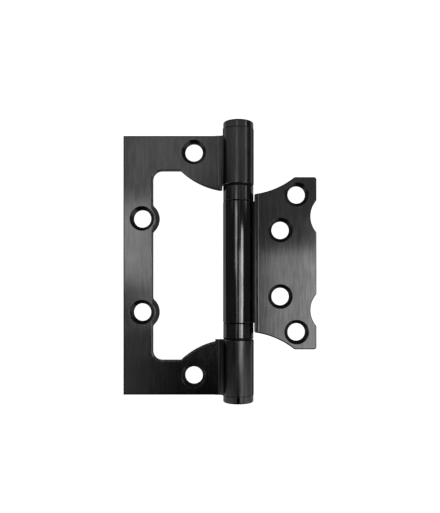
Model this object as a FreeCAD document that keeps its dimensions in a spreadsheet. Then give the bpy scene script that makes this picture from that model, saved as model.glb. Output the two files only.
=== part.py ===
# Flush hinge with two ball bearings.
# The frame leaf is an open C with a knuckle at each end. The door leaf carries the middle knuckle and
# folds into the window of the C, so that the closed hinge is as thin as one leaf.
#
# Frame: the origin is on the pin's axis at the middle of the barrel. +Z runs up along the pin, +X points
# to the door leaf of the hinge laid open, and -Y is the side of the countersinks. All sizes are in
# millimetres and degrees.

import FreeCAD, Part
import math
import os
import re
import Sketcher

Vector = FreeCAD.Vector

# Driving sizes
SIZES = [
    # sheet metal and barrel
    ("plate_thickness", 2.5, "thickness of both leaves"),
    ("barrel_radius", 6.0, "outside of the knuckles"),
    ("barrel_overhang", 1.4, "barrel past half the leaf height, each end"),
    ("end_knuckle_length", 21.6, "each knuckle of the frame leaf"),
    ("bearing_space", 6.4, "room for a bearing between two knuckles"),
    ("bend_radius", 2.7, "hollow of the bend from plate to barrel"),
    ("toe_radius", 0.6, "hollow from the barrel to the toe of a curl's free edge"),
    ("toe_height", 0.45, "toe of a curl's free edge, pressed flat"),
    ("toe_reach", 1.1, "that toe past the barrel's outline"),
    ("seam_width", 0.1, "toe above its plate's face"),
    ("seat_depth", 0.25, "seat in the plate under a toe"),
    ("seat_margin", 0.3, "how far that seat runs out past the toe"),
    ("root_gap", 0.2, "barrel to the plate's edge beyond a knuckle"),
    ("root_corner", 0.6, "plate's corners beside the barrel"),
    ("knuckle_edge", 0.25, "bevel round the ends of knuckles and bearing rings"),
    ("plate_edge", 0.45, "rounding along the front edges of the plates"),
    ("seat_edge", 0.2, "rounding where a plate steps down to its seat"),
    # frame leaf
    ("leaf_height", 100.0, "height of the frame leaf"),
    ("outer_reach", 44.4, "pin axis to the frame leaf's free edge"),
    ("outer_drop", 1.2, "middle of the frame leaf below the barrel's middle"),
    ("bar_width", 11.3, "upright bar of the C"),
    ("arm_width", 13.4, "arms of the C, at the bar"),
    ("window_corner", 3.5, "window's corners"),
    ("window_end_width", 10.8, "straight part of the window's ends, from the bar"),
    ("arm_swell", 8.0, "an arm's growth in width along its round inner edge"),
    ("arm_centre_offset", 2.2, "centre of that round edge from the pin axis"),
    ("land_radius", 6.6, "round land about a hole in the bar, at its back"),
    ("land_slope", 1.2, "land's side leaning in from its back to its front"),
    ("land_blend", 1.2, "hollow where a land meets the bar"),
    # door leaf
    ("inner_drop", 0.4, "middle of the door leaf below the barrel's middle"),
    ("bar_gap", 2.9, "bar to door leaf, folded"),
    ("end_gap", 3.3, "window's end to door leaf, folded"),
    ("arm_gap", 2.1, "round edge of an arm to door leaf, folded"),
    ("land_gap", 2.7, "land to its notch in the door leaf, folded"),
    ("inner_corner", 1.0, "corners of the door leaf and its notches"),
    # screw holes
    ("hole_diameter", 6.8, "screw hole"),
    ("sink_diameter", 9.5, "countersink at the plate's face"),
    ("sink_angle", 90.0, "countersink's full angle"),
    ("land_hole_inset", 7.2, "free edge to the holes in the bar"),
    ("land_hole_shift", 0.2, "holes in the bar nearer its middle than halfway to the window's ends"),
    ("arm_hole_reach", 17.2, "pin axis to the holes in the arms"),
    ("arm_hole_inset", 6.85, "leaf's end to the hole in its arm"),
    ("arm_hole_rise", 0.6, "shift of both arm holes up the leaf"),
    ("near_hole_shift", 1.95, "door leaf's near holes nearer the barrel than halfway across the leaf"),
    ("near_hole_pitch", 25.7, "between the door leaf's near holes"),
    ("tip_hole_side", 7.7, "free edge to the door leaf's outer holes"),
    ("tip_hole_end", 6.7, "end of the door leaf to its outer holes"),
    # pin and caps
    ("pin_clearance", 0.05, "pin to knuckle bore, on the radius"),
    ("pin_bevel", 0.5, "bevel on the ends of the pin"),
    ("cap_height", 2.75, "head of a cap"),
    ("cap_inset", 0.1, "cap's head inside the barrel's outline"),
    ("cap_round", 0.65, "rounded rim of a cap"),
    ("stem_length", 3.0, "cap's stem in the knuckle bore"),
    ("stem_clearance", 0.03, "stem to knuckle bore, on the radius"),
    # bearings
    ("housing_inset", 0.1, "bearing ring inside the barrel's outline"),
    ("housing_skirt", 0.45, "wall of the bearing ring"),
    ("housing_flange", 2.8, "solid end of the bearing ring"),
    ("housing_gap", 0.3, "open end of the bearing ring to the end knuckle"),
    ("race_clearance", 0.1, "rings to the pin and to each other, on the radius"),
    ("ball_diameter", 1.2, "bearing ball"),
    ("ball_play", 0.04, "ball to its groove or pocket"),
    ("groove_depth", 0.2, "ball groove in a race"),
    ("cage_height", 0.7, "ball cage"),
    # making
    ("overshoot", 1.0, "how far a cut runs past what it cuts"),
]

# Sizes that follow from the driving ones
DERIVED = [
    ("face", "plate_thickness / 2"),
    ("bore_radius", "barrel_radius - plate_thickness"),
    ("root_edge", "barrel_radius + root_gap"),
    ("stub_edge", "root_edge + bend_radius"),
    ("seam_level", "face + seam_width"),
    ("toe_level", "seam_level + toe_height"),
    ("toe_end", "barrel_radius + toe_reach"),
    ("seat_end", "toe_end + seat_margin"),
    ("barrel_end", "leaf_height / 2 + barrel_overhang"),
    ("bearing_end", "barrel_end - end_knuckle_length"),
    ("bearing_start", "bearing_end - bearing_space"),
    ("leaf_half", "leaf_height / 2"),
    ("bar_edge", "outer_reach - bar_width"),
    ("window_half", "leaf_half - arm_width"),
    ("arm_run", "bar_edge - window_end_width - arm_centre_offset"),
    ("arm_radius", "(arm_run^2 + arm_swell^2) / (2 * arm_swell)"),
    ("arm_centre_height", "window_half - arm_swell + arm_radius"),
    ("land_hole_reach", "outer_reach - land_hole_inset"),
    ("land_hole_half", "window_half / 2 - land_hole_shift"),
    ("arm_hole_half", "leaf_half - arm_hole_inset"),
    ("inner_reach", "bar_edge - bar_gap"),
    ("inner_half", "window_half - end_gap"),
    ("nest_radius", "arm_radius + arm_gap"),
    ("notch_radius", "land_radius + land_gap"),
    ("near_hole_reach", "(root_edge + inner_reach) / 2 - near_hole_shift"),
    ("near_hole_half", "near_hole_pitch / 2"),
    ("tip_hole_reach", "inner_reach - tip_hole_side"),
    ("tip_hole_half", "inner_half - tip_hole_end"),
    ("pin_radius", "bore_radius - pin_clearance"),
    ("cap_radius", "barrel_radius - cap_inset"),
    ("cap_end", "barrel_end + cap_height"),
    ("stem_radius", "bore_radius - stem_clearance"),
    ("stem_end", "barrel_end - stem_length"),
    ("housing_radius", "barrel_radius - housing_inset"),
    ("skirt_radius", "housing_radius - housing_skirt"),
    ("skirt_end", "bearing_end - housing_gap"),
    ("ring_bore", "pin_radius + race_clearance"),
    ("washer_radius", "skirt_radius - race_clearance"),
    ("pitch_radius", "(ring_bore + washer_radius) / 2"),
    ("ball_radius", "ball_diameter / 2"),
    ("pocket_radius", "ball_radius + ball_play"),
    ("flange_face", "bearing_start + housing_flange"),
    ("ball_height", "flange_face - groove_depth + pocket_radius"),
    ("washer_face", "ball_height - groove_depth + pocket_radius"),
]

BALLS = 8
TINY = 0.001
START, END, CENTRE = 1, 2, 3
HALF_TURN = 180

doc = FreeCAD.newDocument("flush_hinge")
sheet = doc.addObject("Spreadsheet::Sheet", "sizes")
for row, (alias, amount, meaning) in enumerate(SIZES, start=1):
    sheet.set("A%d" % row, meaning)
    sheet.set("B%d" % row, str(amount))
    sheet.setAlias("B%d" % row, alias)
for row, (alias, formula) in enumerate(DERIVED, start=len(SIZES) + 1):
    sheet.set("B%d" % row, "=" + formula)
    sheet.setAlias("B%d" % row, alias)
doc.recompute()
WORDS = {entry[0] for entry in SIZES + DERIVED}


def cells(formula):
    """The formula with each of the sheet's words written as a reference to its cell."""
    return re.sub("[a-z_]+", lambda found: "sizes." + found[0] if found[0] in WORDS else found[0], formula)


def value(formula):
    """What a formula in the sheet's words comes to."""
    return float(sheet.evalExpression(cells(formula)))


# Sketches whose dimensions follow formulas in the sheet's words

def plane(body, role):
    """One of the body's own origin planes."""
    return next(feature for feature in body.Origin.OriginFeatures if feature.Role == role)


class Profile:
    """A sketch on one origin plane of its body, lifted off it and turned in it where that is given."""

    def __init__(self, body, name, role, lift=None, turned=0):
        self.sketch = body.newObject("Sketcher::SketchObject", name)
        self.sketch.AttachmentSupport = [(plane(body, role), "")]
        self.sketch.MapMode = "FlatFace"
        in_plane = FreeCAD.Rotation(Vector(0, 0, 1), turned)
        self.sketch.AttachmentOffset = FreeCAD.Placement(Vector(), in_plane)
        if lift:
            self.sketch.setExpression("AttachmentOffset.Base.z", cells(lift))

    def tie(self, kind, *where):
        """A constraint with no dimension."""
        self.sketch.addConstraint(Sketcher.Constraint(kind, *where))

    def dimension(self, kind, formula, *where):
        """A dimension that follows a formula."""
        index = self.sketch.addConstraint(Sketcher.Constraint(kind, *where, value(formula)))
        self.sketch.setExpression("Constraints[%d]" % index, cells(formula))

    def place(self, piece, point, across=None, up=None):
        """Hold a point of a line or an arc at a place."""
        if across is not None:
            self.dimension("DistanceX", across, -1, START, piece, point)
        if up is not None:
            self.dimension("DistanceY", up, -1, START, piece, point)

    def line(self, start, end):
        return self.sketch.addGeometry(Part.LineSegment(Vector(*start, 0), Vector(*end, 0)))

    def circle(self, centre, radius, first=None, last=None):
        """A circle of a held centre and radius, or its arc anticlockwise between two angles in radians."""
        middle = Vector(value(centre[0]), value(centre[1]), 0)
        round_edge = Part.Circle(middle, Vector(0, 0, 1), value(radius))
        if first is not None:
            round_edge = Part.ArcOfCircle(round_edge, first, last)
        piece = self.sketch.addGeometry(round_edge)
        self.place(piece, CENTRE, *centre)
        self.dimension("Radius", radius, piece)
        return piece

    def polygon(self, corners):
        """A closed outline whose corners are pairs of formulas."""
        places = [(value(across), value(up)) for across, up in corners]
        lines = [self.line(here, there) for here, there in zip(places, places[1:] + places[:1])]
        for one, other in zip(lines, lines[1:] + lines[:1]):
            self.tie("Coincident", one, END, other, START)
        for one, corner in zip(lines, corners):
            self.place(one, START, *corner)

    def box(self, left, right, low, high):
        self.polygon([(left, low), (right, low), (right, high), (left, high)])


# Features

def new_body(name):
    """An empty body whose label names its file."""
    body = doc.addObject("PartDesign::Body", name)
    body.Label = name
    return body


def pad(body, profile, name, length, both_ways=True):
    """Material to both sides of the profile's plane, or to its front only."""
    feature = body.newObject("PartDesign::Pad", name)
    feature.Profile = profile.sketch
    feature.Midplane = both_ways
    feature.setExpression("Length", cells(length))
    doc.recompute()
    return feature


def cut_through(body, profile, name):
    """A cut to both sides of the profile's plane, right through."""
    feature = body.newObject("PartDesign::Pocket", name)
    feature.Profile = profile.sketch
    feature.Type = "ThroughAll"
    feature.Midplane = True
    doc.recompute()
    return feature


def turn(body, profile, name, kind="PartDesign::Revolution"):
    """A turned form, or a turned groove, about the pin's axis."""
    feature = body.newObject(kind, name)
    feature.Profile = profile.sketch
    feature.ReferenceAxis = (profile.sketch, ["V_Axis"])
    feature.Angle = 360
    doc.recompute()
    return feature


def dress(body, kind, name, formula, chosen):
    """A fillet or a chamfer along each edge of the body that the test chooses."""
    base = body.Tip
    names = ["Edge%d" % n for n, edge in enumerate(base.Shape.Edges, start=1) if chosen(edge)]
    if not names:
        raise RuntimeError("%s has no edge for %s" % (body.Label, name))
    feature = body.newObject("PartDesign::" + kind, name)
    feature.Base = (base, names)
    feature.setExpression({"Fillet": "Radius", "Chamfer": "Size"}[kind], cells(formula))
    doc.recompute()
    return feature


def near(one, other):
    return abs(one - other) < TINY


def middle_of(edge):
    """The point halfway along an edge."""
    return edge.valueAt((edge.FirstParameter + edge.LastParameter) / 2)


def through_plate(across, *ups):
    """A test for the straight edges from face to face at one distance from the pin's axis, or at any,
    and there at the heights given, or at any height."""
    x, heights = across and value(across), [value(up) for up in ups]

    def chosen(edge):
        ends = [vertex.Point for vertex in edge.Vertexes]
        if len(ends) < 2 or not near(abs(ends[1].y - ends[0].y), edge.Length):
            return False
        place = middle_of(edge)
        if across and not near(place.x, x):
            return False
        return not heights or any(near(place.z, height) for height in heights)

    return chosen


def in_front_face(edge):
    """Whether the whole edge lies in the plate's front face."""
    face = value("face")
    points = [middle_of(edge)] + [vertex.Point for vertex in edge.Vertexes]
    return all(near(point.y, -face) for point in points)


def rims(radius, *heights):
    """A test for the round edges of one radius about the pin's axis, at the heights given."""
    size, levels = value(radius), [value(height) for height in heights]

    def chosen(edge):
        if not isinstance(edge.Curve, Part.Circle) or not near(edge.Curve.Radius, size):
            return False
        return any(near(edge.Curve.Center.z, level) for level in levels)

    return chosen


def curl(body, name, lift=None, turned=0):
    """The section of a rolled knuckle, seen along the pin. The sheet comes in from the left, bends off
    its front face into the barrel and goes all the way round. Its free edge ends in a flat toe over the
    back face of its own plate, where a narrow seam stays open."""
    profile = Profile(body, name, "XY_Plane", lift, turned)
    face, seam, toe = value("face"), value("seam_level"), value("toe_level")
    barrel, bore = value("barrel_radius"), value("bore_radius")
    hollow, toe_hollow = value("bend_radius"), value("toe_radius")
    stub, toe_end = value("stub_edge"), value("toe_end")
    bend_x = -math.sqrt((barrel + hollow) ** 2 - (face + hollow) ** 2)
    bend_angle = math.atan2(face + hollow, -bend_x)
    toe_x = -math.sqrt((barrel + toe_hollow) ** 2 - (toe + toe_hollow) ** 2)
    toe_angle = math.atan2(toe + toe_hollow, -toe_x)
    root = (-math.sqrt(bore**2 - face**2), face)
    slot = (-math.sqrt(bore**2 - seam**2), seam)
    bore_first, bore_last = math.atan2(root[1], root[0]), math.atan2(slot[1], slot[0]) + 2 * math.pi

    front = profile.line((-stub, -face), (bend_x, -face))
    round_edge = Part.Circle(Vector(bend_x, -face - hollow, 0), Vector(0, 0, 1), hollow)
    bend = profile.sketch.addGeometry(Part.ArcOfCircle(round_edge, bend_angle, math.pi / 2))
    outside = profile.circle(("0", "0"), "barrel_radius", bend_angle - math.pi, math.pi - toe_angle)
    round_edge = Part.Circle(Vector(toe_x, toe + toe_hollow, 0), Vector(0, 0, 1), toe_hollow)
    toe_bend = profile.sketch.addGeometry(Part.ArcOfCircle(round_edge, -math.pi / 2, -toe_angle))
    toe_face = profile.line((toe_x, toe), (-toe_end, toe))
    toe_tip = profile.line((-toe_end, toe), (-toe_end, seam))
    free_edge = profile.line((-toe_end, seam), slot)
    inside = profile.circle(("0", "0"), "bore_radius", bore_first, bore_last)
    back = profile.line(root, (-stub, face))
    stub_end = profile.line((-stub, face), (-stub, -face))

    profile.tie("Tangent", front, END, bend, END)
    profile.tie("Tangent", bend, START, outside, START)
    profile.tie("Tangent", outside, END, toe_bend, END)
    profile.tie("Tangent", toe_bend, START, toe_face, START)
    profile.tie("Coincident", toe_face, END, toe_tip, START)
    profile.tie("Coincident", toe_tip, END, free_edge, START)
    profile.tie("Coincident", free_edge, END, inside, END)
    profile.tie("Coincident", inside, START, back, START)
    profile.tie("Coincident", back, END, stub_end, START)
    profile.tie("Coincident", stub_end, END, front, START)
    for level in (front, toe_face, free_edge, back):
        profile.tie("Horizontal", level)
    for upright in (toe_tip, stub_end):
        profile.tie("Vertical", upright)
    profile.place(front, START, "-stub_edge", "-face")
    profile.place(back, START, None, "face")
    profile.place(free_edge, START, "-toe_end", "seam_level")
    profile.place(toe_face, END, None, "toe_level")
    profile.dimension("Radius", "bend_radius", bend)
    profile.dimension("Radius", "toe_radius", toe_bend)
    return profile


def seam_seat(body, turned=0):
    """The shallow seat across the root of the plate, that a curl's toe is pressed down over, with the
    edge of its step rounded."""
    profile = Profile(body, "seat_outline", "XY_Plane", turned=turned)
    top, floor, step = value("face"), value("face - seat_depth"), -value("seat_end")
    edge = value("seat_edge")
    seat = profile.line((0, floor), (step, floor))
    riser = profile.line((step, floor), (step, top - edge))
    rounding = profile.circle(("-seat_end - seat_edge", "face - seat_edge"), "seat_edge", 0, math.pi / 2)
    level = profile.line((step - edge, top), (0, top))
    middle = profile.line((0, top), (0, floor))

    profile.tie("Coincident", seat, END, riser, START)
    profile.tie("Tangent", riser, END, rounding, START)
    profile.tie("Tangent", rounding, END, level, START)
    profile.tie("Coincident", level, END, middle, START)
    profile.tie("Coincident", middle, END, seat, START)
    for one in (seat, level):
        profile.tie("Horizontal", one)
    for one in (riser, middle):
        profile.tie("Vertical", one)
    profile.place(seat, START, "0", "face - seat_depth")
    cut_through(body, profile, "seam_seat")


def knuckle_bevels(body, levels, turned=0):
    """A bevel round each end of the knuckles, from the bend round to where the toe leaves the barrel.
    Each level is the end's height and the height that the bevel reaches."""
    bend = "asin((face + bend_radius) / (barrel_radius + bend_radius))"
    toe = "asin((toe_level + toe_radius) / (barrel_radius + toe_radius))"
    halfway = "%d deg + (%s - %s) / 2" % (turned, bend, toe)
    section = Profile(body, "bevel_sections", "XZ_Plane")
    about_pin = FreeCAD.Rotation(Vector(0, 1, 0), value(halfway))
    section.sketch.AttachmentOffset = FreeCAD.Placement(Vector(), about_pin)
    section.sketch.setExpression("AttachmentOffset.Rotation.Angle", cells(halfway))
    outside, inside = "barrel_radius", "barrel_radius - knuckle_edge"
    for end, reach in levels:
        section.polygon([(inside, end), (outside, end), (outside, reach)])
    groove = turn(body, section, "knuckle_ends", "PartDesign::Groove")
    groove.Midplane = True
    groove.setExpression("Angle", cells("360 deg - %s - %s" % (bend, toe)))
    doc.recompute()


def screw_holes(body, places):
    """Countersunk holes through the plate from its front face."""
    profile = Profile(body, "hole_places", "XZ_Plane", "face")
    for place in places:
        profile.circle(place, "hole_diameter / 2")
    doc.recompute()
    hole = body.newObject("PartDesign::Hole", "screw_holes")
    hole.Profile = profile.sketch
    hole.DepthType = "ThroughAll"
    hole.HoleCutType = "Countersink"
    hole.HoleCutCustomValues = True
    hole.setExpression("Diameter", cells("hole_diameter"))
    hole.setExpression("HoleCutDiameter", cells("sink_diameter"))
    hole.setExpression("HoleCutCountersinkAngle", cells("sink_angle"))
    doc.recompute()


# Frame leaf

def window(body):
    """The window of the C: straight along the bar and at its ends, then round along both arms. It runs
    on past the root of the arms into the open."""
    profile = Profile(body, "window_outline", "XZ_Plane")
    middle, half, bar = value("-outer_drop"), value("window_half"), value("-bar_edge")
    past = value("-bore_radius")
    offset, rise, radius = value("-arm_centre_offset"), value("arm_centre_height"), value("arm_radius")
    drop_at_end = rise - half
    end_x = offset - math.sqrt(radius**2 - drop_at_end**2)
    drop_at_root = math.sqrt(radius**2 - (past - offset) ** 2)
    end_angle = math.atan2(drop_at_end, end_x - offset)
    root_angle = math.atan2(drop_at_root, past - offset)
    low, high = middle - half, middle + half
    root_low, root_high = middle - rise + drop_at_root, middle + rise - drop_at_root

    along_bar = profile.line((bar, low), (bar, high))
    upper = profile.line((bar, high), (end_x, high))
    centres = [("-arm_centre_offset", "%sarm_centre_height - outer_drop" % side) for side in ("", "-")]
    upper_arm = profile.circle(centres[0], "arm_radius", -end_angle, -root_angle)
    in_the_open = profile.line((past, root_high), (past, root_low))
    lower_arm = profile.circle(centres[1], "arm_radius", root_angle, end_angle)
    lower = profile.line((end_x, low), (bar, low))

    profile.tie("Coincident", along_bar, END, upper, START)
    profile.tie("Coincident", upper, END, upper_arm, START)
    profile.tie("Coincident", upper_arm, END, in_the_open, START)
    profile.tie("Coincident", in_the_open, END, lower_arm, START)
    profile.tie("Coincident", lower_arm, END, lower, START)
    profile.tie("Coincident", lower, END, along_bar, START)
    for level in (upper, lower):
        profile.tie("Horizontal", level)
    for upright in (along_bar, in_the_open):
        profile.tie("Vertical", upright)
    profile.place(along_bar, START, "-bar_edge", "-window_half - outer_drop")
    profile.place(upper, START, None, "window_half - outer_drop")
    profile.place(in_the_open, START, "-bore_radius", None)
    return profile


def outer_leaf():
    body = new_body("outer_leaf")
    blank = Profile(body, "blank", "XZ_Plane")
    blank.box("-outer_reach", "-root_edge", "-leaf_half - outer_drop", "leaf_half - outer_drop")
    pad(body, blank, "plate", "plate_thickness")
    cut_through(body, window(body), "window")
    lands = Profile(body, "land_outline", "XZ_Plane", "-face")
    land_places = [("-land_hole_reach", side + "land_hole_half - outer_drop") for side in ("", "-")]
    for place in land_places:
        lands.circle(place, "land_radius")
    sloped = pad(body, lands, "lands", "plate_thickness", False)
    sloped.setExpression("TaperAngle", cells("-atan(land_slope / plate_thickness)"))
    doc.recompute()

    at_corner = through_plate("-bar_edge", "window_half - outer_drop", "-window_half - outer_drop")
    dress(body, "Fillet", "window_corners", "window_corner", at_corner)
    bar = value("-bar_edge")

    def beside_land(edge):
        points = [middle_of(edge)] + [vertex.Point for vertex in edge.Vertexes]
        return not isinstance(edge.Curve, Part.Line) and all(near(point.x, bar) for point in points)

    dress(body, "Fillet", "land_blends", "land_blend", beside_land)
    at_leaf_end = through_plate("-root_edge", "leaf_half - outer_drop", "-leaf_half - outer_drop")
    at_root = through_plate("-root_edge")
    dress(body, "Fillet", "arm_roots", "root_corner", lambda edge: at_root(edge) and not at_leaf_end(edge))
    dress(body, "Fillet", "front_edge", "plate_edge", in_front_face)

    knuckle = pad(body, curl(body, "knuckle_section", "bearing_end"), "knuckle", "end_knuckle_length", False)
    mirrored = body.newObject("PartDesign::Mirrored", "knuckle_pair")
    mirrored.Originals = [knuckle]
    mirrored.MirrorPlane = (plane(body, "XY_Plane"), [""])
    body.Tip = mirrored
    doc.recompute()

    # above and below the plate, the sheet ends at the barrel's own outline
    relief = Profile(body, "root_relief", "XZ_Plane")
    relief_sides = "-stub_edge - overshoot", "-barrel_radius"
    relief.box(*relief_sides, "leaf_half - outer_drop", "barrel_end + overshoot")
    relief.box(*relief_sides, "-barrel_end - overshoot", "-leaf_half - outer_drop")
    cut_through(body, relief, "relief")
    seam_seat(body)
    knuckle_bevels(body, [
        ("barrel_end", "barrel_end - knuckle_edge"),
        ("bearing_end", "bearing_end + knuckle_edge"),
        ("-bearing_end", "-bearing_end - knuckle_edge"),
        ("-barrel_end", "-barrel_end + knuckle_edge"),
    ])
    arm_level = "arm_hole_half - outer_drop + arm_hole_rise"
    arm_places = [("-arm_hole_reach", side + arm_level) for side in ("", "-")]
    screw_holes(body, land_places + arm_places)
    return body


# Door leaf

def inner_leaf():
    body = new_body("inner_leaf")
    blank = Profile(body, "blank", "XZ_Plane")
    blank.box("root_edge", "inner_reach", "-inner_half - inner_drop", "inner_half - inner_drop")
    pad(body, blank, "plate", "plate_thickness")
    # folded, the round ends lie inside the arms of the frame leaf and the notches inside its lands
    nest = Profile(body, "nest_outline", "XZ_Plane")
    for side in ("", "-"):
        nest.circle(("arm_centre_offset", side + "arm_centre_height - inner_drop"), "nest_radius")
        nest.circle(("land_hole_reach", side + "land_hole_half - inner_drop"), "notch_radius")
    cut_through(body, nest, "nest")
    at_free_edge = through_plate("inner_reach")
    at_end = through_plate(None, "inner_half - inner_drop", "-inner_half - inner_drop")
    dress(body, "Fillet", "free_corners", "inner_corner", lambda edge: at_free_edge(edge) or at_end(edge))
    dress(body, "Fillet", "root_corners", "root_corner", through_plate("root_edge"))
    dress(body, "Fillet", "front_edge", "plate_edge", in_front_face)

    pad(body, curl(body, "knuckle_section", turned=HALF_TURN), "knuckle", "2 * bearing_start")
    seam_seat(body, HALF_TURN)
    knuckle_bevels(body, [
        ("bearing_start", "bearing_start - knuckle_edge"),
        ("-bearing_start", "-bearing_start + knuckle_edge"),
    ], HALF_TURN)
    near_places = [("near_hole_reach", side + "near_hole_half - inner_drop") for side in ("", "-")]
    tip_places = [("tip_hole_reach", side + "tip_hole_half - inner_drop") for side in ("", "-")]
    screw_holes(body, near_places + tip_places)
    return body


# Pin and caps

def hinge_pin():
    """A plain pin whose ends meet the stems of the caps."""
    body = new_body("hinge_pin")
    section = Profile(body, "pin_section", "XZ_Plane")
    section.box("0", "pin_radius", "-stem_end", "stem_end")
    turn(body, section, "shank")
    dress(body, "Chamfer", "pin_ends", "pin_bevel", rims("pin_radius", "stem_end", "-stem_end"))
    return body


def cap(name):
    """A button that covers the end of the barrel, with a stem that plugs the knuckle's bore."""
    body = new_body(name)
    section = Profile(body, "cap_section", "XZ_Plane")
    section.polygon([
        ("0", "stem_end"),
        ("stem_radius", "stem_end"),
        ("stem_radius", "barrel_end"),
        ("cap_radius", "barrel_end"),
        ("cap_radius", "cap_end"),
        ("0", "cap_end"),
    ])
    turn(body, section, "button")
    dress(body, "Fillet", "cap_rim", "cap_round", rims("cap_radius", "cap_end"))
    return body


# Bearings

def ball_groove(body):
    """The round groove in which the balls run."""
    section = Profile(body, "groove_section", "XZ_Plane")
    section.circle(("pitch_radius", "ball_height"), "pocket_radius")
    turn(body, section, "ball_groove", "PartDesign::Groove")


def bearing_housing(name):
    """The visible ring: a race that sits on the middle knuckle, with a skirt that hides the balls."""
    body = new_body(name)
    section = Profile(body, "housing_section", "XZ_Plane")
    section.polygon([
        ("ring_bore", "bearing_start"),
        ("housing_radius", "bearing_start"),
        ("housing_radius", "skirt_end"),
        ("skirt_radius", "skirt_end"),
        ("skirt_radius", "flange_face"),
        ("ring_bore", "flange_face"),
    ])
    turn(body, section, "ring")
    dress(body, "Chamfer", "ring_ends", "knuckle_edge", rims("housing_radius", "bearing_start", "skirt_end"))
    ball_groove(body)
    return body


def race_washer(name):
    """The race that sits on the end knuckle, inside the skirt."""
    body = new_body(name)
    section = Profile(body, "washer_section", "XZ_Plane")
    section.box("ring_bore", "washer_radius", "washer_face", "bearing_end")
    turn(body, section, "washer")
    ball_groove(body)
    return body


def ball_cage(name):
    """A flat ring with a pocket for each ball."""
    body = new_body(name)
    section = Profile(body, "cage_section", "XZ_Plane")
    low, high = ("ball_height %s cage_height / 2" % side for side in "-+")
    section.box("ring_bore", "washer_radius", low, high)
    turn(body, section, "ring")
    outline = Profile(body, "pocket_outline", "XY_Plane")
    outline.circle(("pitch_radius", "0"), "pocket_radius")
    pocket = cut_through(body, outline, "pocket")
    pattern = body.newObject("PartDesign::PolarPattern", "pockets")
    pattern.Originals = [pocket]
    pattern.Axis = (outline.sketch, ["N_Axis"])
    pattern.Angle = 360
    pattern.Occurrences = BALLS
    body.Tip = pattern
    doc.recompute()
    return body


def ball(name, number, side):
    """One ball on the pitch circle, in the upper bearing or in the lower one."""
    sphere = doc.addObject("Part::Sphere", name)
    sphere.Label = name
    sphere.setExpression("Radius", cells("ball_radius"))
    angle = "%g deg" % (360 / BALLS * number)
    sphere.setExpression("Placement.Base.x", cells("pitch_radius") + " * cos(%s)" % angle)
    sphere.setExpression("Placement.Base.y", cells("pitch_radius") + " * sin(%s)" % angle)
    sphere.setExpression("Placement.Base.z", cells(side + "ball_height"))
    return sphere


def lower(piece):
    """Turn a piece of the upper end over, about the axis across both leaves, into the lower end."""
    piece.Placement = FreeCAD.Placement(Vector(), FreeCAD.Rotation(Vector(1, 0, 0), HALF_TURN))
    return piece


pieces = [outer_leaf(), inner_leaf(), hinge_pin(), cap("top_cap"), lower(cap("bottom_cap"))]
for make in (bearing_housing, race_washer, ball_cage):
    pieces += [make("upper_" + make.__name__), lower(make("lower_" + make.__name__))]
for end, side in (("upper", ""), ("lower", "-")):
    pieces += [ball("%s_ball_%d" % (end, number), number, side) for number in range(1, BALLS + 1)]
doc.recompute()

for feature in doc.Objects:
    if "Invalid" in feature.State or "Error" in feature.State:
        raise RuntimeError("%s has failed: %s" % (feature.Label, feature.State))
for piece in pieces:
    if piece.Shape.isNull() or not piece.Shape.isValid() or len(piece.Shape.Solids) != 1:
        raise RuntimeError(piece.Label + " is not one valid solid")

os.makedirs("parts", exist_ok=True)
for piece in pieces:
    piece.Shape.exportStep("parts/%s.step" % piece.Label)
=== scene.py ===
"""Looks of a flush hinge: two black plated steel leaves on one barrel with two ball bearings."""

import math

import bpy
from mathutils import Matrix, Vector


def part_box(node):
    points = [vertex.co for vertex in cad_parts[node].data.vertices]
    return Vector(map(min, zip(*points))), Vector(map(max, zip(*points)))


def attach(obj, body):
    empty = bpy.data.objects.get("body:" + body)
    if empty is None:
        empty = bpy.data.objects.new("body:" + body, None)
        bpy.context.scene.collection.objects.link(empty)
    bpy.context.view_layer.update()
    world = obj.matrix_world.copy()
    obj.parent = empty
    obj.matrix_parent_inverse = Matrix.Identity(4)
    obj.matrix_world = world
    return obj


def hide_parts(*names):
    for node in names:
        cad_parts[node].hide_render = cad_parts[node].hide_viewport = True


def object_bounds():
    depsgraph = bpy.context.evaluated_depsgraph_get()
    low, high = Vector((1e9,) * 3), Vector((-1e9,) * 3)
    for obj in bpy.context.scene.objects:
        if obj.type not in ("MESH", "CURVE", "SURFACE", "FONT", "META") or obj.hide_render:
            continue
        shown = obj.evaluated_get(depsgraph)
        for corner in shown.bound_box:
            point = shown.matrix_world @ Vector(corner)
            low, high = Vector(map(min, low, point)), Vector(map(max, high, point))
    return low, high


bl_info = {
    "name": "Flush hinge",
    "version": (1, 0, 0),
    "blender": (4, 5, 0),
    "location": "View3D > Sidebar > Hinge",
    "description": "Finishes, ball rows, studio and camera for a flush hinge",
    "category": "Object",
}

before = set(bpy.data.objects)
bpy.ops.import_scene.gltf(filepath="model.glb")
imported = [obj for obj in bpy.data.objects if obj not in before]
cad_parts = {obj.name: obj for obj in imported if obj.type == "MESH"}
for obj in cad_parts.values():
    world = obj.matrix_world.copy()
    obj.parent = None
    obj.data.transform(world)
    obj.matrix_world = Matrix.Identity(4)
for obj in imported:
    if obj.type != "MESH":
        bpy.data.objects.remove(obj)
CAD_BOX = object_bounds()
MM = 0.001
BALLS = 8
ENDS = ("upper", "lower")


# Values that follow from the frame

def middle_and_size(node):
    """The middle and the size of a node's box."""
    low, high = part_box(node)
    return (low + high) / 2, high - low


def linear(code):
    """An sRGB hex colour as linear red, green and blue."""
    channels = [int(code[i:i + 2], 16) / 255 for i in (1, 3, 5)]
    return [c / 12.92 if c <= 0.04045 else ((c + 0.055) / 1.055) ** 2.4 for c in channels]


BARREL_RADIUS = middle_and_size("top_cap")[1].x / 2
RING_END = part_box("upper_bearing_housing")[1].z
FIRST_BALL_PLACE, FIRST_BALL_SIZE = middle_and_size("upper_ball_1")
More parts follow.
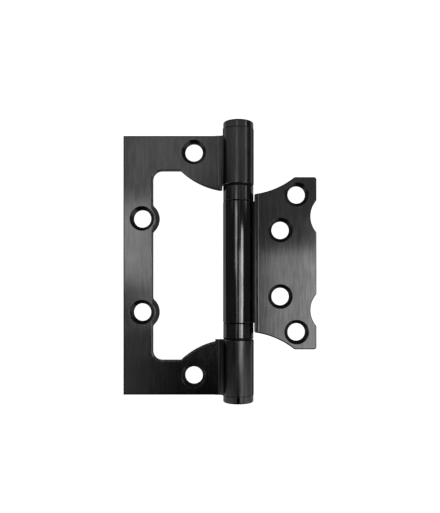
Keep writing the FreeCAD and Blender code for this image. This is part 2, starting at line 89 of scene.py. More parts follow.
# how far the flat toe of a curled leaf reaches from the pin's axis
TOE_END = 7.1 * MM


# Settings

class FinishSettings(bpy.types.PropertyGroup):
    plating: bpy.props.FloatVectorProperty(
        name="Plating",
        description="Colour of the black nickel on leaves, caps and bearing rings",
        subtype="COLOR",
        size=3,
        min=0,
        max=1,
        default=linear("#444444"),
    )
    # painted shade: the colour that seams, joints and ring ends are darkened to, standing in for the shade
    # that falls in them
    painted_shade_colour: bpy.props.FloatVectorProperty(
        name="Grime",
        description="Colour of the dust and old oil in seams and joints",
        subtype="COLOR",
        size=3,
        min=0,
        max=1,
        default=linear("#1c1c1c"),
    )
    bare_steel: bpy.props.FloatVectorProperty(
        name="Bare steel",
        description="Colour of the steel where the plating has worn thin, and of the pin",
        subtype="COLOR",
        size=3,
        min=0,
        max=1,
        default=linear("#8c8a87"),
    )
    nylon: bpy.props.FloatVectorProperty(
        name="Nylon",
        description="Colour of the ball cages",
        subtype="COLOR",
        size=3,
        min=0,
        max=1,
        default=linear("#d9d3c3"),
    )
    brush_width: bpy.props.FloatProperty(
        name="Brush line width",
        description="Width of the brushing lines that show on the leaves",
        unit="LENGTH",
        default=0.55 * MM,
    )
    roll_width: bpy.props.FloatProperty(
        name="Rolling mark width",
        description="Width of the marks that rolling leaves along the barrel",
        unit="LENGTH",
        default=2 * MM,
    )
    edge_round: bpy.props.FloatProperty(
        name="Edge rounding",
        description="How far the light rolls round a sharp edge",
        unit="LENGTH",
        default=0.12 * MM,
    )
    edge_wear: bpy.props.FloatProperty(
        name="Edge wear",
        description="How far the thin plating reaches in from an edge",
        unit="LENGTH",
        default=0.3 * MM,
    )
    # how far the painted shade reaches out of a seam or joint
    painted_shade_reach: bpy.props.FloatProperty(
        name="Joint reach",
        description="How far dust and old oil reach out of a seam or joint",
        unit="LENGTH",
        default=0.8 * MM,
    )


class BallSettings(bpy.types.PropertyGroup):
    count: bpy.props.IntProperty(
        name="Balls",
        description="Balls in each bearing",
        default=BALLS,
    )
    diameter: bpy.props.FloatProperty(
        name="Ball diameter",
        description="Diameter of one ball",
        unit="LENGTH",
        default=FIRST_BALL_SIZE.z,
    )
    pitch_radius: bpy.props.FloatProperty(
        name="Pitch radius",
        description="Pin's axis to the middle of a ball",
        unit="LENGTH",
        default=FIRST_BALL_PLACE.xy.length,
    )


class StudioSettings(bpy.types.PropertyGroup):
    floor_drop: bpy.props.FloatProperty(
        name="Floor drop",
        description="Floor below the hinge",
        unit="LENGTH",
        default=160 * MM,
    )
    room_level: bpy.props.FloatProperty(
        name="Room level",
        description="Brightness of the room around the hinge",
        subtype="FACTOR",
        min=0,
        max=1,
        default=0.12,
    )


# Nodes

def add(tree, kind, inputs=None, **settings):
    """A node with its settings, and each input either linked from a socket or set to a value."""
    node = tree.nodes.new(kind)
    for name, value in settings.items():
        setattr(node, name, value)
    for name, value in (inputs or {}).items():
        if isinstance(value, bpy.types.NodeSocket):
            tree.links.new(value, node.inputs[name])
        else:
            node.inputs[name].default_value = value
    return node


def new_material(name):
    """An empty node material and its tree."""
    finish = bpy.data.materials.new(name)
    finish.use_nodes = True
    finish.node_tree.nodes.clear()
    return finish, finish.node_tree


# sockets of a colour Mix node, which has several of one name
FACTOR, FIRST, SECOND, MIXED = 0, 6, 7, 2
# black nickel mirrors less at a grazing angle than bare metal does
GRAZING_TINT = (0.6, 0.6, 0.6, 1)


# What age and use leave on the metal

def painted_shade_in_joints(tree, settings):
    """A painted shade mask from ambient occlusion: 0 on an open face, 1 in a seam or a joint between two
    parts.
    """
    openness = add(tree, "ShaderNodeAmbientOcclusion", {"Distance": settings.painted_shade_reach}, samples=6)
    return add(tree, "ShaderNodeMapRange", {
        "Value": openness.outputs["AO"],
        "From Min": 0.4,
        "From Max": 0.8,
        "To Min": 1,
        "To Max": 0,
    }, interpolation_type="SMOOTHSTEP").outputs[0]


def painted_seam_shade_and_highlight(tree, across, through):
    """Masks of painted shade in the seam of a curled leaf and of a painted highlight on the lip of the
    plate beside it.

    Each leaf has its seam on one side only, where x and y differ in sign.
    """
    seam_side = add(tree, "ShaderNodeMath", {0: across, 1: through}, operation="MULTIPLY").outputs[0]
    seam_side = add(tree, "ShaderNodeMath", {0: seam_side, 1: 0}, operation="LESS_THAN").outputs[0]
    reach = add(tree, "ShaderNodeMath", {0: across}, operation="ABSOLUTE").outputs[0]
    depth = add(tree, "ShaderNodeMath", {0: through}, operation="ABSOLUTE").outputs[0]

    # painted shade in the hollow between the barrel and the toe
    painted_crease_shade = seam_side
    for distance, end, fade in ((depth, 2.3 * MM, 0.7 * MM), (reach, TOE_END - 0.8 * MM, 0.3 * MM)):
        inside = add(tree, "ShaderNodeMapRange", {
            "Value": distance,
            "From Min": end,
            "From Max": end + fade,
            "To Min": 1,
            "To Max": 0,
        }).outputs[0]
        painted_crease_shade = add(tree, "ShaderNodeMath", {0: painted_crease_shade, 1: inside}, operation="MULTIPLY").outputs[0]

    # a painted shade line in the groove at the end of the toe, then a painted highlight line on the lip
    lines = []
    for middle in (TOE_END + 0.15 * MM, TOE_END + 0.6 * MM):
        away = add(tree, "ShaderNodeMath", {0: reach, 1: middle}, operation="SUBTRACT").outputs[0]
        away = add(tree, "ShaderNodeMath", {0: away}, operation="ABSOLUTE").outputs[0]
        line = add(tree, "ShaderNodeMapRange", {
            "Value": away,
            "From Min": 0.2 * MM,
            "From Max": 0.32 * MM,
            "To Min": 1,
            "To Max": 0,
        }).outputs[0]
        lines.append(add(tree, "ShaderNodeMath", {0: line, 1: seam_side}, operation="MULTIPLY").outputs[0])
    groove, lip = lines
    painted_crease_shade = add(tree, "ShaderNodeMath", {0: painted_crease_shade, 1: groove}, operation="MAXIMUM").outputs[0]
    return painted_crease_shade, lip


def rubbed_edges(tree, settings, place):
    """How much bare steel shows through on an edge, in patches, and 0 on a face."""
    faced = add(tree, "ShaderNodeNewGeometry").outputs["Normal"]
    turned = add(tree, "ShaderNodeBevel", {"Radius": settings.edge_wear}, samples=4).outputs[0]
    flatness = add(tree, "ShaderNodeVectorMath", {0: turned, 1: faced}, operation="DOT_PRODUCT")
    edge = add(tree, "ShaderNodeMapRange", {
        "Value": flatness.outputs["Value"],
        "From Min": 0.9,
        "From Max": 0.99,
        "To Min": 1,
        "To Max": 0,
    }).outputs[0]
    patches = add(tree, "ShaderNodeTexNoise", {
        "Vector": place,
        "Scale": 1 / (1.5 * MM),
        "Detail": 3,
    }).outputs["Fac"]
    patches = add(tree, "ShaderNodeMapRange", {
        "Value": patches,
        "From Min": 0.4,
        "From Max": 0.65,
        "To Min": 0.03,
        "To Max": 0.2,
    }).outputs[0]
    return add(tree, "ShaderNodeMath", {0: edge, 1: patches}, operation="MULTIPLY").outputs[0]


# Materials

def black_nickel_on_brushed_steel(settings):
    # Sheet steel brushed along the pin, rolled and black nickel plated. It gives a dark satin mirror
    # with fine upright lines, a glossier middle knuckle, dull sheared edges darkened as painted shade,
    # turned countersinks, edges rubbed a little bright, a painted highlight on the lip beside each seam
    # and painted shade in the seams and joints. Real brushing lines are a tenth of a millimetre wide,
    # too fine to show here, so they are drawn as coarse as brush_width.
    finish, tree = new_material("black_nickel_on_brushed_steel")
    given = add(tree, "ShaderNodeTexCoord").outputs
    place, facing = given["Object"], given["Normal"]
    flat = add(tree, "ShaderNodeVectorMath", {0: place, 1: (1, 1, 0)}, operation="MULTIPLY").outputs[0]
    radius = add(tree, "ShaderNodeVectorMath", {0: flat}, operation="LENGTH").outputs["Value"]
    across, through, height = add(tree, "ShaderNodeSeparateXYZ", {0: place}).outputs
    front = add(tree, "ShaderNodeSeparateXYZ", {0: facing}).outputs["Y"]
    front = add(tree, "ShaderNodeMath", {0: front}, operation="ABSOLUTE").outputs[0]

    # where the barrel, the sheared edges and the countersinks are
    barrel = add(tree, "ShaderNodeMapRange", {
        "Value": radius,
        "From Min": BARREL_RADIUS + 0.3 * MM,
        "From Max": BARREL_RADIUS + 0.9 * MM,
        "To Min": 1,
        "To Max": 0,
    }, interpolation_type="SMOOTHSTEP").outputs[0]
    plate = add(tree, "ShaderNodeMath", {0: 1, 1: barrel}, operation="SUBTRACT").outputs[0]
    sheared = add(tree, "ShaderNodeMapRange", {
        "Value": front,
        "From Min": 0.4,
        "From Max": 0.85,
        "To Min": 1,
        "To Max": 0,
    }).outputs[0]
    sheared = add(tree, "ShaderNodeMath", {0: sheared, 1: plate}, operation="MULTIPLY").outputs[0]
    sink = add(tree, "ShaderNodeMath", {
        0: front,
        1: math.cos(math.radians(45)),
        2: 0.02,
    }, operation="COMPARE").outputs[0]
    sink = add(tree, "ShaderNodeMath", {0: sink, 1: plate}, operation="MULTIPLY").outputs[0]

    # brushing lines, cross lines on sheared edges, rings in countersinks and wide rolling marks
    along_pin = add(tree, "ShaderNodeMapping", {"Vector": place, "Scale": (1, 1, 0.07)}).outputs[0]
    lines = add(tree, "ShaderNodeTexNoise", {
        "Vector": along_pin,
        "Scale": 1 / settings.brush_width,
        "Detail": 4,
        "Roughness": 0.65,
    }).outputs["Fac"]
    across_edge = add(tree, "ShaderNodeMapping", {"Vector": place, "Scale": (1, 0.1, 1)}).outputs[0]
    shear_lines = add(tree, "ShaderNodeTexNoise", {
        "Vector": across_edge,
        "Scale": 1 / (0.4 * MM),
        "Detail": 2,
    }).outputs["Fac"]
    depth = add(tree, "ShaderNodeMapping", {"Vector": place, "Scale": (0, 1, 0)}).outputs[0]
    rings = add(tree, "ShaderNodeTexNoise", {
        "Vector": depth,
        "Scale": 1 / (0.2 * MM),
        "Detail": 1,
    }).outputs["Fac"]
    streaks = add(tree, "ShaderNodeTexNoise", {
        "Vector": along_pin,
        "Scale": 1 / settings.roll_width,
        "Detail": 1,
    }).outputs["Fac"]
    streak_depth = 4
    for share in (streak_depth, barrel):
        streaks = add(tree, "ShaderNodeMath", {0: streaks, 1: share}, operation="MULTIPLY").outputs[0]
    relief = add(tree, "ShaderNodeMath", {0: lines, 1: streaks}, operation="ADD").outputs[0]
    relief = add(tree, "ShaderNodeMix", {0: sheared, 2: relief, 3: shear_lines}).outputs[0]
    relief = add(tree, "ShaderNodeMix", {0: sink, 2: relief, 3: rings}).outputs[0]
    rounded = add(tree, "ShaderNodeBevel", {"Radius": settings.edge_round}, samples=4).outputs[0]
    bump = add(tree, "ShaderNodeBump", {
        "Height": relief,
        "Strength": 1.0,
        "Distance": 0.01 * MM,
        "Normal": rounded,
    }).outputs[0]

    painted_crease_shade, lip = painted_seam_shade_and_highlight(tree, across, through)
    painted_shade = add(tree, "ShaderNodeMath", {
        0: painted_shade_in_joints(tree, settings),
        1: painted_crease_shade,
    }, operation="MAXIMUM").outputs[0]
    # painted highlight: a thin line of bare steel colour on the lip beside the seam, standing in for light
    # caught by the lip's edge; worn carries it along with the rubbed edges
    lip_brightness = 0.4
    lip = add(tree, "ShaderNodeMath", {0: lip, 1: lip_brightness}, operation="MULTIPLY").outputs[0]
    worn = add(tree, "ShaderNodeMath", {
        0: rubbed_edges(tree, settings, place),
        1: lip,
    }, operation="MAXIMUM").outputs[0]

    # the outer knuckles are rubbed satin, and the middle one, which the rings run against, is glossy
    satin, gloss = [
        add(tree, "ShaderNodeMapRange", {
            "Value": lines,
            "From Min": 0.3,
            "From Max": 0.7,
            "To Min": smoothest,
            "To Max": smoothest + 0.04,
        }).outputs[0]
        for smoothest in (0.14, 0.08)
    ]
    from_middle = add(tree, "ShaderNodeMath", {0: height}, operation="ABSOLUTE").outputs[0]
    outer = add(tree, "ShaderNodeMath", {0: from_middle, 1: RING_END}, operation="GREATER_THAN").outputs[0]
    knuckle_satin = add(tree, "ShaderNodeMath", {0: satin, 1: 0.06}, operation="ADD").outputs[0]
    gloss = add(tree, "ShaderNodeMix", {0: outer, 2: gloss, 3: knuckle_satin}).outputs[0]
    roughness = satin
    for mask, level in ((barrel, gloss), (sheared, 0.4), (sink, 0.3), (painted_shade, 0.6)):
        roughness = add(tree, "ShaderNodeMix", {0: mask, 2: roughness, 3: level}).outputs[0]

    # lines and clouds in the plating's tone, with painted shade on the sheared edges and countersinks a
    # little darker
    tone = add(tree, "ShaderNodeMapRange", {
        "Value": lines,
        "From Min": 0.4,
        "From Max": 0.6,
        "To Min": 0.84,
        "To Max": 1.16,
    }).outputs[0]
    cloud = add(tree, "ShaderNodeTexNoise", {
        "Vector": place,
        "Scale": 1 / (9 * MM),
        "Detail": 2,
    }).outputs["Fac"]
    shades = [add(tree, "ShaderNodeMapRange", {
        "Value": cloud,
        "From Min": 0.3,
        "From Max": 0.7,
        "To Min": 0.9,
        "To Max": 1.1,
    }).outputs[0]]
    # painted shade: sheared walls darkened to under half, for the shade on walls that face away from the
    # lamps
    for mask, darker in ((sheared, 0.45), (sink, 0.9)):
        shades.append(add(tree, "ShaderNodeMapRange", {
            "Value": mask,
            "To Min": 1,
            "To Max": darker,
        }).outputs[0])
    for shade in shades:
        tone = add(tree, "ShaderNodeMath", {0: tone, 1: shade}, operation="MULTIPLY").outputs[0]
    colour = add(tree, "ShaderNodeVectorMath", {
        0: settings.plating,
        "Scale": tone,
    }, operation="SCALE").outputs[0]
    # bare steel colour on worn edges and as a painted highlight on the lip; painted shade in seams and
    # joints
    for mask, shown in ((worn, settings.bare_steel), (painted_shade, settings.painted_shade_colour)):
        colour = add(tree, "ShaderNodeMix", {
            FACTOR: mask,
            FIRST: colour,
            SECOND: list(shown) + [1],
        }, data_type="RGBA").outputs[MIXED]

    grain_direction = add(tree, "ShaderNodeCombineXYZ", {"Y": 0.1, "Z": 1}).outputs[0]
    shader = add(tree, "ShaderNodeBsdfPrincipled", {
        "Base Color": colour,
        "Metallic": 1,
        "Roughness": roughness,
        "Normal": bump,
        "Specular Tint": GRAZING_TINT,
        "Anisotropic": 0.5,
        "Anisotropic Rotation": 0.25,
        "Tangent": grain_direction,
    })
    add(tree, "ShaderNodeOutputMaterial", {"Surface": shader.outputs[0]})
    return finish


def black_nickel_on_turned_steel(settings):
    # Turned on a lathe, then black nickel plated. It gives a dark gloss whose light draws out along
    # the pin, with hair-fine rings drawn two or three times as coarse as real tool marks, and painted
    # shade on the ends of the rings and in the joints.
    finish, tree = new_material("black_nickel_on_turned_steel")
    place = add(tree, "ShaderNodeTexCoord").outputs["Object"]
    flat = add(tree, "ShaderNodeVectorMath", {0: place, 1: (1, 1, 0)}, operation="MULTIPLY").outputs[0]
    radius = add(tree, "ShaderNodeVectorMath", {0: flat}, operation="LENGTH").outputs["Value"]
    height = add(tree, "ShaderNodeSeparateXYZ", {0: place}).outputs["Z"]
    turning = add(tree, "ShaderNodeCombineXYZ", {"X": radius, "Z": height}).outputs[0]
    rings = add(tree, "ShaderNodeTexNoise", {
        "Vector": turning,
        "Scale": 1 / (0.25 * MM),
        "Detail": 2,
    }).outputs["Fac"]
    rounded = add(tree, "ShaderNodeBevel", {"Radius": settings.edge_round}, samples=4).outputs[0]
    bump = add(tree, "ShaderNodeBump", {
        "Height": rings,
        "Strength": 1.0,
        "Distance": 0.004 * MM,
        "Normal": rounded,
    }).outputs[0]

    # painted shade: a dark band over the edge of each ring where it turns against a knuckle
    from_middle = add(tree, "ShaderNodeMath", {0: height}, operation="ABSOLUTE").outputs[0]
    from_joint = add(tree, "ShaderNodeMath", {0: from_middle, 1: RING_END}, operation="SUBTRACT").outputs[0]
    from_joint = add(tree, "ShaderNodeMath", {0: from_joint}, operation="ABSOLUTE").outputs[0]
    painted_crease_shade = add(tree, "ShaderNodeMapRange", {
        "Value": from_joint,
        "From Min": 0.45 * MM,
        "From Max": 0.65 * MM,
        "To Min": 1,
        "To Max": 0,
    }, interpolation_type="SMOOTHSTEP").outputs[0]
    painted_shade = add(tree, "ShaderNodeMath", {
        0: painted_shade_in_joints(tree, settings),
        1: painted_crease_shade,
    }, operation="MAXIMUM").outputs[0]

    roughness, tone = [
        add(tree, "ShaderNodeMapRange", {
            "Value": rings,
            "From Min": 0.3,
            "From Max": 0.7,
            "To Min": least,
            "To Max": most,
        }).outputs[0]
        for least, most in ((0.1, 0.15), (0.85, 1.15))
    ]
    roughness = add(tree, "ShaderNodeMix", {0: painted_shade, 2: roughness, 3: 0.6}).outputs[0]
    colour = add(tree, "ShaderNodeVectorMath", {
        0: settings.plating,
        "Scale": tone,
    }, operation="SCALE").outputs[0]
    # painted shade at the ring ends and in joints
    colour = add(tree, "ShaderNodeMix", {
        FACTOR: painted_shade,
        FIRST: colour,
        SECOND: list(settings.painted_shade_colour) + [1],
    }, data_type="RGBA").outputs[MIXED]
    outward = add(tree, "ShaderNodeVectorMath", {0: flat}, operation="NORMALIZE").outputs[0]
    drawn = add(tree, "ShaderNodeVectorMath", {0: outward, 1: (0, 0, 1)}, operation="ADD").outputs[0]
    shader = add(tree, "ShaderNodeBsdfPrincipled", {
        "Base Color": colour,
        "Metallic": 1,
        "Roughness": roughness,
        "Normal": bump,
        "Specular Tint": GRAZING_TINT,
        "Anisotropic": 0.4,
        "Tangent": drawn,
    })
    add(tree, "ShaderNodeOutputMaterial", {"Surface": shader.outputs[0]})
    return finish


def oiled_ground_steel(settings):
    # Ground bar steel with a film of oil. It gives a bright gloss with fine rings round the pin,
    # drawn coarser than the grinding wheel's grit so that they show.
    finish, tree = new_material("oiled_ground_steel")
    place = add(tree, "ShaderNodeTexCoord").outputs["Object"]
    round_pin = add(tree, "ShaderNodeMapping", {"Vector": place, "Scale": (0.05, 0.05, 1)}).outputs[0]
    rings = add(tree, "ShaderNodeTexNoise", {
        "Vector": round_pin,
        "Scale": 1 / (0.15 * MM),
        "Detail": 3,
    }).outputs["Fac"]
    bump = add(tree, "ShaderNodeBump", {"Height": rings, "Strength": 1.0, "Distance": 0.003 * MM})
    roughness = add(tree, "ShaderNodeMapRange", {
        "Value": rings,
        "From Min": 0.3,
        "From Max": 0.7,
        "To Min": 0.18,
        "To Max": 0.28,
    })
    shader = add(tree, "ShaderNodeBsdfPrincipled", {
        "Base Color": list(settings.bare_steel) + [1],
        "Metallic": 1,
        "Roughness": roughness.outputs[0],
        "Normal": bump.outputs[0],
    })
    add(tree, "ShaderNodeOutputMaterial", {"Surface": shader.outputs[0]})
    return finish


def blackened_hardened_steel():
    # Bearing steel, oil blackened in hardening. It gives a dark dull ring with mottled scale.
    finish, tree = new_material("blackened_hardened_steel")
    place = add(tree, "ShaderNodeTexCoord").outputs["Object"]
    scale = add(tree, "ShaderNodeTexNoise", {
        "Vector": place,
        "Scale": 1 / (0.3 * MM),
        "Detail": 4,
    }).outputs["Fac"]
    roughness = add(tree, "ShaderNodeMapRange", {
        "Value": scale,
        "From Min": 0.3,
        "From Max": 0.7,
        "To Min": 0.35,
        "To Max": 0.5,
    })
    colour = add(tree, "ShaderNodeMix", {
        FACTOR: scale,
        FIRST: linear("#1b1b1d") + [1],
        SECOND: linear("#2c2a29") + [1],
    }, data_type="RGBA").outputs[MIXED]
    bump = add(tree, "ShaderNodeBump", {"Height": scale, "Strength": 1.0, "Distance": 0.004 * MM})
    shader = add(tree, "ShaderNodeBsdfPrincipled", {
        "Base Color": colour,
        "Metallic": 1,
        "Roughness": roughness.outputs[0],
        "Normal": bump.outputs[0],
    })
    add(tree, "ShaderNodeOutputMaterial", {"Surface": shader.outputs[0]})
    return finish


def polished_ball_steel():
    # Chrome steel, ground and lapped round. It gives a clean mirror with a few faint dull marks.
    finish, tree = new_material("polished_ball_steel")
    place = add(tree, "ShaderNodeTexCoord").outputs["Object"]
    marks = add(tree, "ShaderNodeTexNoise", {
        "Vector": place,
        "Scale": 1 / (0.2 * MM),
        "Detail": 5,
    }).outputs["Fac"]
    roughness = add(tree, "ShaderNodeMapRange", {
        "Value": marks,
        "From Min": 0.4,
        "From Max": 0.8,
        "To Min": 0.05,
        "To Max": 0.15,
    })
    shader = add(tree, "ShaderNodeBsdfPrincipled", {
        "Base Color": linear("#c8c9cb") + [1],
        "Metallic": 1,
        "Roughness": roughness.outputs[0],
    })
    add(tree, "ShaderNodeOutputMaterial", {"Surface": shader.outputs[0]})
    return finish


def moulded_nylon(settings):
    # Natural nylon, injection moulded. It gives a warm translucent off-white with a soft sheen.
    finish, tree = new_material("moulded_nylon")
    place = add(tree, "ShaderNodeTexCoord").outputs["Object"]
    texture = add(tree, "ShaderNodeTexNoise", {
        "Vector": place,
        "Scale": 1 / (0.1 * MM),
        "Detail": 3,
    }).outputs["Fac"]
    bump = add(tree, "ShaderNodeBump", {"Height": texture, "Strength": 1.0, "Distance": 0.006 * MM})
    roughness = add(tree, "ShaderNodeMapRange", {"Value": texture, "To Min": 0.4, "To Max": 0.6})
    shader = add(tree, "ShaderNodeBsdfPrincipled", {
        "Base Color": list(settings.nylon) + [1],
        "Roughness": roughness.outputs[0],
        "IOR": 1.53,
        "Subsurface Weight": 0.2,
        "Subsurface Scale": 0.5 * MM,
        "Normal": bump.outputs[0],
    })
    add(tree, "ShaderNodeOutputMaterial", {"Surface": shader.outputs[0]})
    return finish


def white_studio_paper():
    # Seamless background paper. It gives a matt white that keeps shadows, and is lifted to white
    # where it is looked at or mirrored.
    finish, tree = new_material("white_studio_paper")
    paper = add(tree, "ShaderNodeBsdfDiffuse", {"Color": linear("#f2f2f2") + [1]}).outputs[0]
    glow = add(tree, "ShaderNodeEmission", {"Color": (1, 1, 1, 1), "Strength": 0.95}).outputs[0]
    none = add(tree, "ShaderNodeEmission", {"Color": (0, 0, 0, 1)}).outputs[0]
    ray = add(tree, "ShaderNodeLightPath").outputs
    seen = ray["Is Camera Ray"]
    for kind in ("Is Glossy Ray", "Is Transmission Ray"):
        seen = add(tree, "ShaderNodeMath", {0: seen, 1: ray[kind]}, operation="MAXIMUM").outputs[0]
    lift = add(tree, "ShaderNodeMixShader", {0: seen, 1: none, 2: glow}).outputs[0]
    total = add(tree, "ShaderNodeAddShader", {0: paper, 1: lift}).outputs[0]
    add(tree, "ShaderNodeOutputMaterial", {"Surface": total})
    return finish


def black_studio_card():
    # Flocked black card. It gives nearly no light back.
    finish, tree = new_material("black_studio_card")
    card = add(tree, "ShaderNodeBsdfDiffuse", {"Color": linear("#080808") + [1]}).outputs[0]
    add(tree, "ShaderNodeOutputMaterial", {"Surface": card})
    return finish


# Geometry nodes

def ball_row_tree(finish):
    """A ring of balls about the pin's axis, at a height along it."""
    tree = bpy.data.node_groups.new("ball_row", "GeometryNodeTree")
    sizes = (("Balls", "Int"), ("Ball diameter", "Float"), ("Pitch radius", "Float"), ("Height", "Float"))
    for name, kind in sizes:
        tree.interface.new_socket(name=name, in_out="INPUT", socket_type="NodeSocket" + kind)
    tree.interface.new_socket(name="Geometry", in_out="OUTPUT", socket_type="NodeSocketGeometry")
    given = add(tree, "NodeGroupInput").outputs
    ring = add(tree, "GeometryNodeMeshCircle", {
        "Vertices": given["Balls"],
        "Radius": given["Pitch radius"],
    }).outputs[0]
    raised = add(tree, "ShaderNodeCombineXYZ", {"Z": given["Height"]}).outputs[0]
    raised = add(tree, "GeometryNodeTransform", {"Geometry": ring, "Translation": raised}).outputs[0]
    ball_radius = add(tree, "ShaderNodeMath", {
        0: given["Ball diameter"],
        1: 2,
    }, operation="DIVIDE").outputs[0]
    ball = add(tree, "GeometryNodeMeshIcoSphere", {"Radius": ball_radius, "Subdivisions": 4}).outputs[0]
    row = add(tree, "GeometryNodeInstanceOnPoints", {"Points": raised, "Instance": ball}).outputs[0]
    solid = add(tree, "GeometryNodeRealizeInstances", {"Geometry": row}).outputs[0]
    smooth = add(tree, "GeometryNodeSetShadeSmooth", {"Geometry": solid}).outputs[0]
    finished = add(tree, "GeometryNodeSetMaterial", {"Geometry": smooth, "Material": finish}).outputs[0]
    add(tree, "NodeGroupOutput", {"Geometry": finished})
    return tree


def made_by(tree, name, inputs):
    """A plain mesh object that a geometry tree makes from the inputs given by name."""
    piece = bpy.data.objects.new(name, bpy.data.meshes.new(name))
    bpy.context.scene.collection.objects.link(piece)
    maker = piece.modifiers.new(name, "NODES")
    maker.node_group = tree
    for socket in tree.interface.items_tree:
        if socket.name in inputs:
            maker[socket.identifier] = inputs[socket.name]
    evaluated = piece.evaluated_get(bpy.context.evaluated_depsgraph_get())
    mesh = bpy.data.meshes.new_from_object(evaluated)
    piece.modifiers.remove(maker)
    piece.data = mesh
    return piece


# Studio

LENS = {
    "lens": 41.61,
    "sensor_width": 36,
    "shift_x": -0.0357,
    "shift_y": 0.0692,
    "clip_start": 0.01,
    "clip_end": 10,
}
CAMERA_REACH = 0.230
CAMERA_HEIGHT = -0.0115

# ends of the floor and the wall in metres from the pin, and the radius of the bend between them
FLOOR_FRONT, FLOOR_SIDE, FLOOR_WIDENS = -1.5, 0.9, 0.2
WALL_BACK, WALL_SIDE, WALL_TOP = 0.9, 3, 3
BEND = 0.3
BEND_STEPS = 12

# outline of the black card, seen from above, in metres from the pin
CARD_OUTLINE = (
    (-FLOOR_SIDE, FLOOR_FRONT), (0.6, FLOOR_FRONT), (0.6, -0.3), (0.1, -0.3), (0.1, 0.05),
    (-0.25, 0.05), (-0.25, -0.8), (-0.65, -0.65), (-FLOOR_SIDE, -0.3),
)

# distances of the lamps in metres
FAR, NEAR = 0.7, 0.17
LAMPS = {
    # azimuths of the left and right edge and elevations of the lower and upper edge in degrees, seen
    # from the hinge, then radiance and distance
    "left_box": (-15.5, -9.5, 1.5, 11, 4.8, FAR),
    "left_spill": (-24, -15.5, 3, 12, 2.8, FAR),
    "left_tail": (-13, -8, -4, 1.5, 2.6, FAR),
    "top_box": (-15, -5, 11, 24, 0.9, FAR),
    "ceiling_box": (-50, 50, 14, 40, 0.4, FAR),
    "far_left_box": (-100, -52, 15, 38, 0.4, FAR),
    "right_top_box": (3, 12, 6, 14, 0.4, FAR),
    "right_box": (21, 34, -11.3, 14, 7.7, NEAR),
    "right_low_box": (14, 32, -32.5, -11.5, 1.3, NEAR),
    "middle_box": (6, 21, -16, 9, 3.2, NEAR),
    "left_low_box": (-19, -12, -16, -4, 0.6, FAR),
    "far_strip": (55, 64, 11, 28, 2.2, FAR),
    "right_floor_box": (25, 95, -20, -7, 0.4, FAR),
}


def add_stage_piece(name, points, faces, finish):
    """A piece of the stage, made from points and faces."""
    mesh = bpy.data.meshes.new(name)
    mesh.from_pydata(points, [], faces)
    mesh.materials.append(finish)
    piece = bpy.data.objects.new(name, mesh)
    bpy.context.scene.collection.objects.link(piece)
    return piece


def add_backdrop(floor):
    """The paper: a floor that bends up into a wall."""
    profile = [
        (FLOOR_SIDE, FLOOR_FRONT, floor),
        (FLOOR_SIDE, FLOOR_WIDENS, floor),
        (WALL_SIDE, WALL_BACK - BEND, floor),
    ]
    for step in range(1, BEND_STEPS + 1):
        angle = math.radians(90 * step / BEND_STEPS)
        y = WALL_BACK - BEND + BEND * math.sin(angle)
        profile.append((WALL_SIDE, y, floor + BEND - BEND * math.cos(angle)))
    profile.append((WALL_SIDE, WALL_BACK, floor + WALL_TOP))
    points = [(x, y, z) for side, y, z in profile for x in (-side, side)]
    faces = [(2 * i, 2 * i + 1, 2 * i + 3, 2 * i + 2) for i in range(len(profile) - 1)]
    backdrop = add_stage_piece("backdrop", points, faces, white_studio_paper())
    backdrop.data.shade_smooth()


def add_card(floor):
    """The black card on the floor, which keeps the paper out of the mirror of the plates."""
    above = 1 * MM
    points = [(x, y, floor + above) for x, y in CARD_OUTLINE]
    card = add_stage_piece("black_card", points, [range(len(points))], black_studio_card())
    card.visible_camera = card.visible_diffuse = card.visible_shadow = False


def add_lamps(middle):
    """Flat lamps that face the middle of the hinge."""
    for name, (left, right, low, high, radiance, reach) in LAMPS.items():
        turn, rise = math.radians((left + right) / 2), math.radians((low + high) / 2)
        lamp = bpy.data.lights.new(name, "AREA")
        lamp.shape = "RECTANGLE"
        lamp.size = 2 * reach * math.tan(math.radians(right - left) / 2)
        lamp.size_y = 2 * reach * math.tan(math.radians(high - low) / 2)
        lamp.energy = radiance * math.pi * lamp.size * lamp.size_y
        stand = bpy.data.objects.new(name, lamp)
        stand.location = middle + reach * Vector((
            math.sin(turn) * math.cos(rise),
            -math.cos(turn) * math.cos(rise),
            math.sin(rise),
        ))
        stand.rotation_euler = (middle - stand.location).to_track_quat("-Z", "Y").to_euler()
        stand.visible_camera = False
        bpy.context.scene.collection.objects.link(stand)


def add_room(level):
    """The dim even light of the room."""
    world = bpy.data.worlds.new("room")
    world.use_nodes = True
    background = world.node_tree.nodes["Background"]
    background.inputs["Color"].default_value = (1, 1, 1, 1)
    background.inputs["Strength"].default_value = level
    bpy.context.scene.world = world


def add_camera():
    """The camera, in front of the pin and square on to the open leaves."""
    lens = bpy.data.cameras.new("camera")
    for name, value in LENS.items():
        setattr(lens, name, value)
    camera = bpy.data.objects.new("camera", lens)
    camera.location = (0, -CAMERA_REACH, CAMERA_HEIGHT)
    camera.rotation_euler = (math.radians(90), 0, 0)
    bpy.context.scene.collection.objects.link(camera)
    bpy.context.scene.camera = camera


# Operators

def finish_nodes(finish, *names):
    """Give each of the frame's nodes one finish."""
    for name in names:
        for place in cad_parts[name].material_slots:
            place.material = finish


class HINGE_OT_leaves(bpy.types.Operator):
    """Finish both leaves with their knuckles in black nickel"""
    bl_idname = "hinge.leaves"
    bl_label = "Leaves"

    def execute(self, context):
        finish_nodes(black_nickel_on_brushed_steel(context.scene.hinge_finish), "outer_leaf", "inner_leaf")
        return {"FINISHED"}


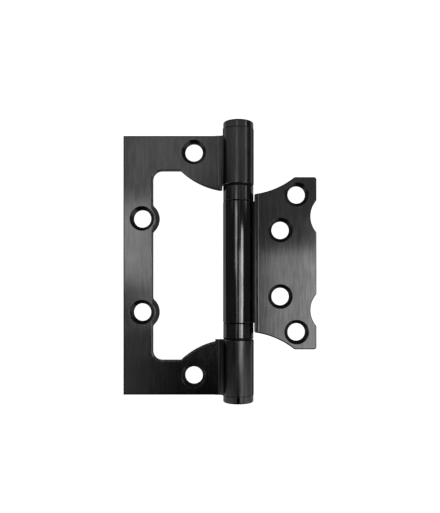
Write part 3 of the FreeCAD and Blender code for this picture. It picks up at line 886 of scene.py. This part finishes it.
class HINGE_OT_caps_and_rings(bpy.types.Operator):
    """Finish the caps and the rings of the bearings in black nickel"""
    bl_idname = "hinge.caps_and_rings"
    bl_label = "Caps and bearing rings"

    def execute(self, context):
        finish = black_nickel_on_turned_steel(context.scene.hinge_finish)
        finish_nodes(finish, "top_cap", "bottom_cap")
        finish_nodes(finish, *[end + "_bearing_housing" for end in ENDS])
        return {"FINISHED"}


class HINGE_OT_pin_and_races(bpy.types.Operator):
    """Finish the pin, the race washers and the ball cages"""
    bl_idname = "hinge.pin_and_races"
    bl_label = "Pin, races and cages"

    def execute(self, context):
        settings = context.scene.hinge_finish
        finish_nodes(oiled_ground_steel(settings), "hinge_pin")
        finish_nodes(blackened_hardened_steel(), *[end + "_race_washer" for end in ENDS])
        finish_nodes(moulded_nylon(settings), *[end + "_ball_cage" for end in ENDS])
        return {"FINISHED"}


class HINGE_OT_ball_rows(bpy.types.Operator):
    """Make the two rows of bearing balls"""
    bl_idname = "hinge.ball_rows"
    bl_label = "Ball rows"

    def execute(self, context):
        settings = context.scene.hinge_balls
        tree = ball_row_tree(polished_ball_steel())
        for end in ENDS:
            balls = ["%s_ball_%d" % (end, number) for number in range(1, BALLS + 1)]
            row = made_by(tree, end + "_ball_row", {
                "Balls": settings.count,
                "Ball diameter": settings.diameter,
                "Pitch radius": settings.pitch_radius,
                "Height": middle_and_size(balls[0])[0].z,
            })
            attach(row, end + "_cage")
            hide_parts(*balls)
        return {"FINISHED"}


class HINGE_OT_studio(bpy.types.Operator):
    """Make the floor, the lamps, the room and the camera"""
    bl_idname = "hinge.studio"
    bl_label = "Studio"

    def execute(self, context):
        settings = context.scene.hinge_studio
        floor = CAD_BOX[0].z - settings.floor_drop
        add_backdrop(floor)
        add_card(floor)
        add_lamps(Vector((0, 0, CAMERA_HEIGHT)))
        add_room(settings.room_level)
        add_camera()
        context.scene.view_settings.view_transform = "Standard"
        return {"FINISHED"}


OPERATORS = (
    HINGE_OT_leaves,
    HINGE_OT_caps_and_rings,
    HINGE_OT_pin_and_races,
    HINGE_OT_ball_rows,
    HINGE_OT_studio,
)
SETTINGS = {"hinge_finish": FinishSettings, "hinge_balls": BallSettings, "hinge_studio": StudioSettings}


class HINGE_PT_panel(bpy.types.Panel):
    """Settings of the hinge and the steps that dress it"""
    bl_idname = "HINGE_PT_panel"
    bl_label = "Flush hinge"
    bl_space_type = "VIEW_3D"
    bl_region_type = "UI"
    bl_category = "Hinge"

    def draw(self, context):
        for group, settings in SETTINGS.items():
            box = self.layout.box()
            for name in settings.__annotations__:
                box.prop(getattr(context.scene, group), name)
        for step in OPERATORS:
            self.layout.operator(step.bl_idname)


def register():
    for one in (*SETTINGS.values(), *OPERATORS, HINGE_PT_panel):
        bpy.utils.register_class(one)
    for name, settings in SETTINGS.items():
        setattr(bpy.types.Scene, name, bpy.props.PointerProperty(type=settings))


def unregister():
    for name in SETTINGS:
        delattr(bpy.types.Scene, name)
    for one in reversed((*SETTINGS.values(), *OPERATORS, HINGE_PT_panel)):
        bpy.utils.unregister_class(one)


def main():
    register()
    bpy.ops.hinge.leaves()
    bpy.ops.hinge.caps_and_rings()
    bpy.ops.hinge.pin_and_races()
    bpy.ops.hinge.ball_rows()
    bpy.ops.hinge.studio()


if __name__ == "__main__":
    main()
